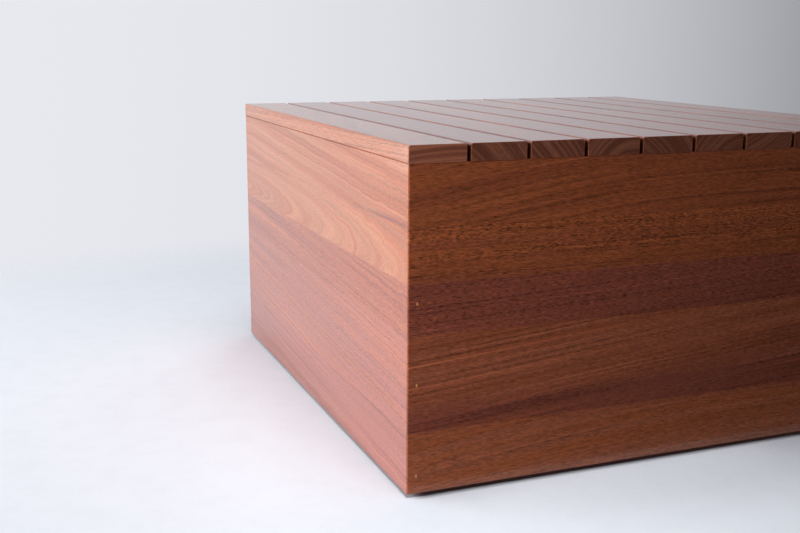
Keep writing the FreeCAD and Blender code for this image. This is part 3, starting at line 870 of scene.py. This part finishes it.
class SIDETABLE_OT_stage(Operator):
    """Set the floor, the backdrop, the lamps and the camera"""

    bl_idname = "sidetable.stage"
    bl_label = "Stage"

    def execute(self, context):
        stage = context.scene.side_table.stage
        self.lay_floor(context, stage)
        self.hang_backdrop(context, stage)
        self.stand_flag(context, stage)
        self.light(context, stage)
        self.aim_camera(context, stage)
        context.scene.view_settings.view_transform = "Standard"
        return {"FINISHED"}

    def lay_floor(self, context, stage):
        """Oval floor of painted screed: matt, nearly white and faintly marked, faded out at its rim."""
        middle, reach = stage.floor_middle, stage.floor_reach
        rim = [(middle[0] + reach[0] * x, middle[1] + reach[1] * y, z)
               for x, y, z in ring((0.0, 0.0), 0.0, 1.0, sides=96)]
        mesh = bpy.data.meshes.new("floor")
        mesh.from_pydata(rim, [], [range(len(rim))])
        floor = bpy.data.objects.new("floor", mesh)
        context.scene.collection.objects.link(floor)

        made, tree = material("painted_screed_floor")
        spot = add(tree, "TexCoord").outputs["Object"]
        mottle = add(tree, "TexNoise", {
            "Vector": spot, "Scale": 1 / stage.mottle_width, "Detail": 6.0, "Roughness": 0.7})
        mark = add(tree, "MapRange", {"Value": mottle, "From Min": 0.45, "From Max": 0.75})
        paint = add(tree, "Mix", {0: mark, 6: stage.floor, 7: stage.floor_mark}, data_type="RGBA")
        # Painted shadow: the floor's paint darkens under the table and just outside it, but not where the
        # window shines in.
        apart = add(tree, "VectorMath", {0: spot}, operation="ABSOLUTE")
        sideways, onward = add(tree, "SeparateXYZ", {0: apart}).outputs[:2]
        widest = add(tree, "Math", {0: sideways, 1: onward}, operation="MAXIMUM")
        under = add(tree, "Math", {0: widest, 1: stage.floor_opening}, operation="LESS_THAN")
        from_left = add(tree, "SeparateXYZ", {0: spot}).outputs["X"]
        past = add(tree, "MapRange", {
            "Value": from_left, "From Min": -stage.floor_opening,
            "From Max": stage.window_reach - stage.floor_opening}, interpolation_type="SMOOTHSTEP")
        close = add(tree, "MapRange", {
            "Value": widest, "From Min": stage.floor_opening + stage.foot_shadow,
            "From Max": stage.floor_opening}, interpolation_type="SMOOTHSTEP")
        shade = add(tree, "Math", {0: close, 1: past}, operation="MULTIPLY")
        dimmed = add(tree, "Mix", {0: shade, 6: paint.outputs[2], 7: stage.floor_shade},
                     data_type="RGBA")
        # The eye and the gloss see the pale paint, and the table is lit by a darker one.
        ray = add(tree, "LightPath").outputs
        bounced = add(tree, "Mix", {0: ray["Is Diffuse Ray"], 6: dimmed.outputs[2], 7: stage.floor_bounce},
                      data_type="RGBA")
        matt = add(tree, "BsdfDiffuse", {"Color": bounced.outputs[2]})
        centred = add(tree, "VectorMath", {0: spot, 1: middle}, operation="SUBTRACT")
        oval = add(tree, "VectorMath", {0: centred, 1: (1 / reach[0], 1 / reach[1], 0.0)},
                   operation="MULTIPLY")
        away = add(tree, "VectorMath", {0: oval}, operation="LENGTH")
        fade = add(tree, "MapRange", {
            "Value": away.outputs["Value"], "From Min": stage.floor_fade, "From Max": 1.0},
            interpolation_type="SMOOTHSTEP")
        # From below, the floor is left out, so that the underside shows, and light passes it there.
        behind = add(tree, "NewGeometry").outputs["Backfacing"]
        passed = add(tree, "Math", {0: under, 1: ray["Is Camera Ray"]}, operation="GREATER_THAN")
        open_floor = add(tree, "Math", {0: behind, 1: passed}, operation="MAXIMUM")
        gone = add(tree, "Math", {0: fade, 1: open_floor}, operation="MAXIMUM")
        clear = add(tree, "BsdfTransparent")
        faded = add(tree, "MixShader", {0: gone, 1: matt, 2: clear})
        add(tree, "OutputMaterial", {"Surface": faded})
        mesh.materials.append(made)

    def hang_backdrop(self, context, stage):
        """Plain backdrop, pale towards the window and grey away from it, for camera and gloss alone."""
        world = bpy.data.worlds.new("backdrop")
        context.scene.world = world
        world.use_nodes = True
        tree = world.node_tree
        tree.nodes.clear()
        towards = add(tree, "TexCoord").outputs["Generated"]
        # The wall greys away from the window, and is paler again right across from it.
        away_from_window = (0.707, -0.707, 0.0)
        turned = add(tree, "VectorMath", {0: towards, 1: away_from_window}, operation="DOT_PRODUCT")
        turn = turned.outputs["Value"]
        dim = add(tree, "MapRange", {"Value": turn, "From Min": -0.75, "From Max": 0.10})
        drop = add(tree, "Math", {0: dim, 1: 2.4}, operation="POWER")
        back = add(tree, "MapRange", {"Value": turn, "From Min": 0.2, "From Max": 0.9,
                                      "To Min": 1.0, "To Max": 0.3})
        greyed = add(tree, "Math", {0: drop, 1: back}, operation="MULTIPLY")
        wall = add(tree, "Mix", {0: greyed, 6: stage.backdrop_pale, 7: stage.backdrop_grey},
                   data_type="RGBA")
        ray = add(tree, "LightPath").outputs
        seen = add(tree, "Math", {0: ray["Is Camera Ray"], 1: ray["Is Glossy Ray"]}, operation="ADD")
        shown = add(tree, "Math", {0: seen, 1: ray["Is Transmission Ray"]}, operation="ADD",
                    use_clamp=True)
        height = add(tree, "SeparateXYZ", {0: towards}).outputs["Z"]
        # Rays that pass over the floor's rim aren't steep enough to meet the light from below.
        steep = -0.4
        below = add(tree, "Math", {0: height, 1: steep}, operation="LESS_THAN")
        soft = add(tree, "Mix", {0: below, 6: stage.fill, 7: stage.under}, data_type="RGBA")
        both = add(tree, "Mix", {0: shown, 6: soft.outputs[2], 7: wall.outputs[2]}, data_type="RGBA")
        glow = add(tree, "Background", {"Color": both.outputs[2]})
        add(tree, "OutputWorld", {"Surface": glow})

    def stand_flag(self, context, stage):
        """Flag of matt black cloth before the front, which shows in gloss alone and darkens it."""
        x, y, z = stage.flag_place
        half, top = stage.flag_size[0] / 2, z + stage.flag_size[1]
        mesh = bpy.data.meshes.new("flag")
        corners = [(x - half, y, z), (x + half, y, z), (x + half, y, top), (x - half, y, top)]
        mesh.from_pydata(corners, [], [range(len(corners))])
        flag = bpy.data.objects.new("flag", mesh)
        flag.visible_camera = False
        flag.visible_diffuse = False
        flag.visible_shadow = False
        context.scene.collection.objects.link(flag)
        made, tree = material("matt_black_cloth")
        cloth = add(tree, "BsdfDiffuse", {"Color": stage.flag})
        add(tree, "OutputMaterial", {"Surface": cloth})
        mesh.materials.append(made)

    def light(self, context, stage):
        """Soft area lights: a low one that only the gloss shows, and the rest, which it doesn't show."""
        # The way that each light faces
        ways = {
            "window": (1.0, 0.0, 0.0), "sheen": (1.0, 0.0, 0.0), "door": (0.7, 0.6, 0.0),
            "pool": (0.3, 0.1, -0.7), "foot": (0.0, 0.0, -1.0), "ceiling": (0.0, 0.0, -1.0),
            "rear": (-0.5, -1.0, -0.3), "side": (-1.0, 0.0, -0.1),
        }
        # The door and side lights stay off the floor, so that the shadows at the table are dark,
        # and the pool and foot lights fall on the floor alone.
        links = {"door": "EXCLUDE", "side": "EXCLUDE", "pool": "INCLUDE", "foot": "INCLUDE"}
        for name, towards in ways.items():
            lamp = bpy.data.lights.new(name, "AREA")
            lamp.shape = "RECTANGLE"
            lamp.size, lamp.size_y = getattr(stage, f"{name}_size")[:2]
            lamp.energy = getattr(stage, f"{name}_power")
            light = bpy.data.objects.new(name, lamp)
            light.location = getattr(stage, f"{name}_place")
            light.rotation_mode = "QUATERNION"
            light.rotation_quaternion = Vector(towards).to_track_quat("-Z", "Y")
            light.visible_camera = False
            light.visible_glossy = name == "sheen"
            light.visible_diffuse = name != "sheen"
            context.scene.collection.objects.link(light)
            if name in links:
                lit = bpy.data.collections.new(f"{name}_floor")
                lit.objects.link(bpy.data.objects["floor"])
                lit.collection_objects[0].light_linking.link_state = links[name]
                light.light_linking.receiver_collection = lit

    def aim_camera(self, context, stage):
        """Camera low at the near corner, as the table is usually shown."""
        view = bpy.data.cameras.new("camera")
        view.lens = stage.lens
        camera = bpy.data.objects.new("camera", view)
        camera.location = stage.camera_place
        tilt = Euler((math.pi / 2 - stage.camera_pitch, 0.0, -stage.camera_yaw)).to_matrix()
        roll = Euler((0.0, 0.0, stage.camera_roll)).to_matrix()
        camera.rotation_euler = (tilt @ roll).to_euler()
        context.scene.collection.objects.link(camera)
        context.scene.camera = camera


class SIDETABLE_PT_panel(Panel):
    """Pieces of the side table, in the order that they are made"""

    bl_idname = "SIDETABLE_PT_panel"
    bl_label = "Side Table"
    bl_space_type = "VIEW_3D"
    bl_region_type = "UI"
    bl_category = "Side Table"

    def draw(self, context):
        for step in STEPS:
            self.layout.operator(step.bl_idname)


STEPS = (
    SIDETABLE_OT_side_boards, SIDETABLE_OT_slats, SIDETABLE_OT_framing, SIDETABLE_OT_screws,
    SIDETABLE_OT_nails, SIDETABLE_OT_levelling_feet, SIDETABLE_OT_stage,
)
CLASSES = (TimberSettings, HardwareSettings, StageSettings, SideTableSettings, *STEPS, SIDETABLE_PT_panel)


def register():
    for made in CLASSES:
        bpy.utils.register_class(made)
    bpy.types.Scene.side_table = PointerProperty(type=SideTableSettings)


def unregister():
    del bpy.types.Scene.side_table
    for made in reversed(CLASSES):
        bpy.utils.unregister_class(made)


def main():
    register()
    for step in STEPS:
        group, name = step.bl_idname.split(".")
        getattr(getattr(bpy.ops, group), name)()


if __name__ == "__main__":
    main()
